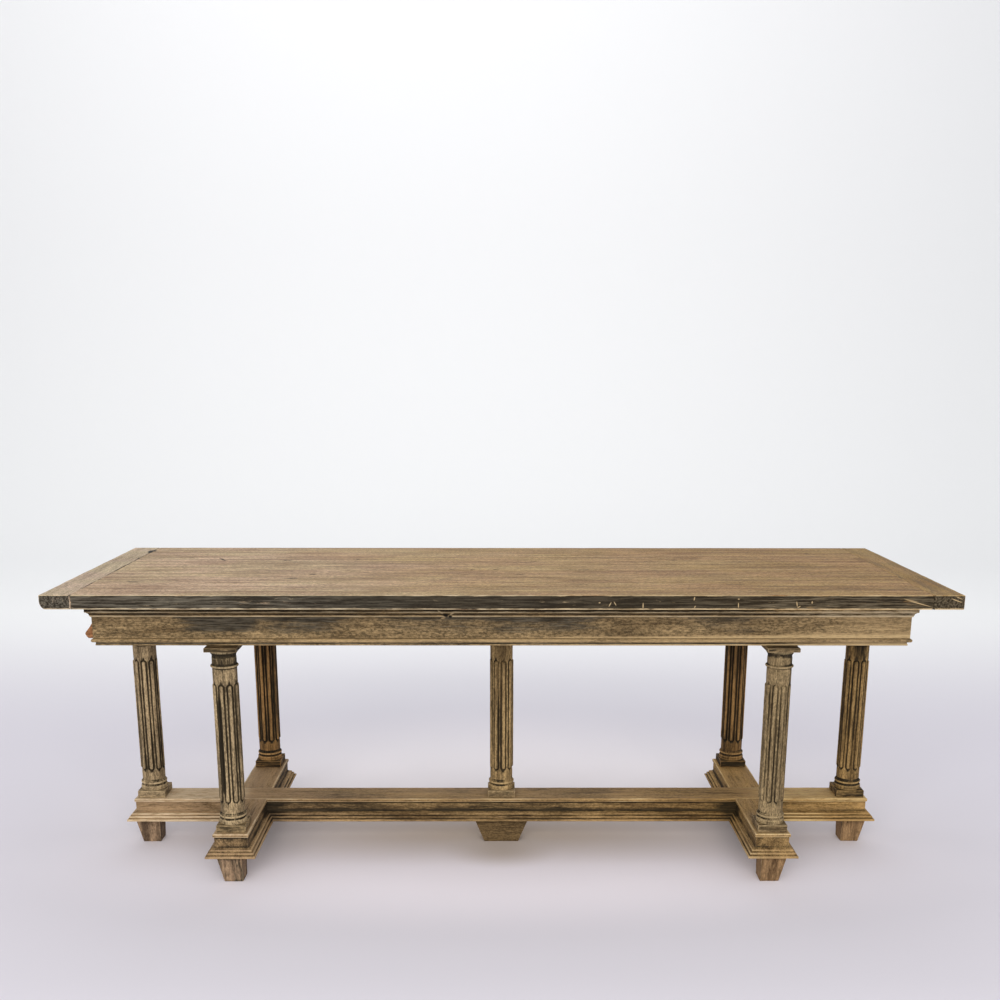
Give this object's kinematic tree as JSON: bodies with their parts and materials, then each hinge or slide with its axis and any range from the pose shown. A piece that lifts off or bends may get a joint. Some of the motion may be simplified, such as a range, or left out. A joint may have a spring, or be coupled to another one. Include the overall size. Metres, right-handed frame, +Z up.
{
  "type": "communion table",
  "caption": "Long wooden communion table: boarded top with end cleats, moulded apron, fluted columns with square caps and blocks, and a moulded stretcher base on block feet.",
  "frame": {"origin": "on the floor, under the middle of the top", "axes": "+X along the table, -Y the front, +Z up"},
  "size_m": [2.21, 0.776, 0.78],
  "materials": {
    "worn_top": "worn matt",
    "dark_cleat": "worn matt",
    "dark_moulding": "dark grime over worn varnish",
    "oak": "worn satin",
    "red_oak": "worn satin",
    "inner_oak": "unfinished"
  },
  "bodies": {
    "root": {"abacus_centre": "oak", "abacus_left_back": "oak", "abacus_left_front": "oak", "abacus_left_outer": "oak", "abacus_right_back": "oak", "abacus_right_front": "oak", "abacus_right_outer": "oak", "arm_left_back": "oak", "arm_left_front": "oak", "arm_right_back": "oak", "arm_right_front": "oak", "astragal_back": "oak", "astragal_front": "oak", "astragal_left": "oak", "astragal_right": "oak", "back_rail": "oak", "centre_bearer": "inner_oak", "cleat_left": "worn_top", "cleat_right": "dark_cleat", "column_centre": "oak", "column_left_back": "oak", "column_left_front": "oak", "column_left_outer": "oak", "column_right_back": "oak", "column_right_front": "oak", "column_right_outer": "oak", "corner_repair_block": "red_oak", "cornice_back": "dark_moulding", "cornice_front": "dark_moulding", "cornice_left": "dark_moulding", "cornice_right": "dark_moulding", "cross_bearer_left": "inner_oak", "cross_bearer_right": "inner_oak", "end_rail_left": "oak", "end_rail_right": "oak", "foot_centre": "red_oak", "foot_left_back": "red_oak", "foot_left_front": "red_oak", "foot_left_outer": "red_oak", "foot_right_back": "red_oak", "foot_right_front": "red_oak", "foot_right_outer": "red_oak", "front_rail": "oak", "long_stretcher": "oak", "plinth_block_centre": "oak", "plinth_block_left_back": "oak", "plinth_block_left_front": "oak", "plinth_block_left_outer": "oak", "plinth_block_right_back": "oak", "plinth_block_right_front": "oak", "plinth_block_right_outer": "oak", "top_board_back": "worn_top", "top_board_back_middle": "worn_top", "top_board_front": "worn_top", "top_board_front_middle": "worn_top"}
  },
  "joints": []
}
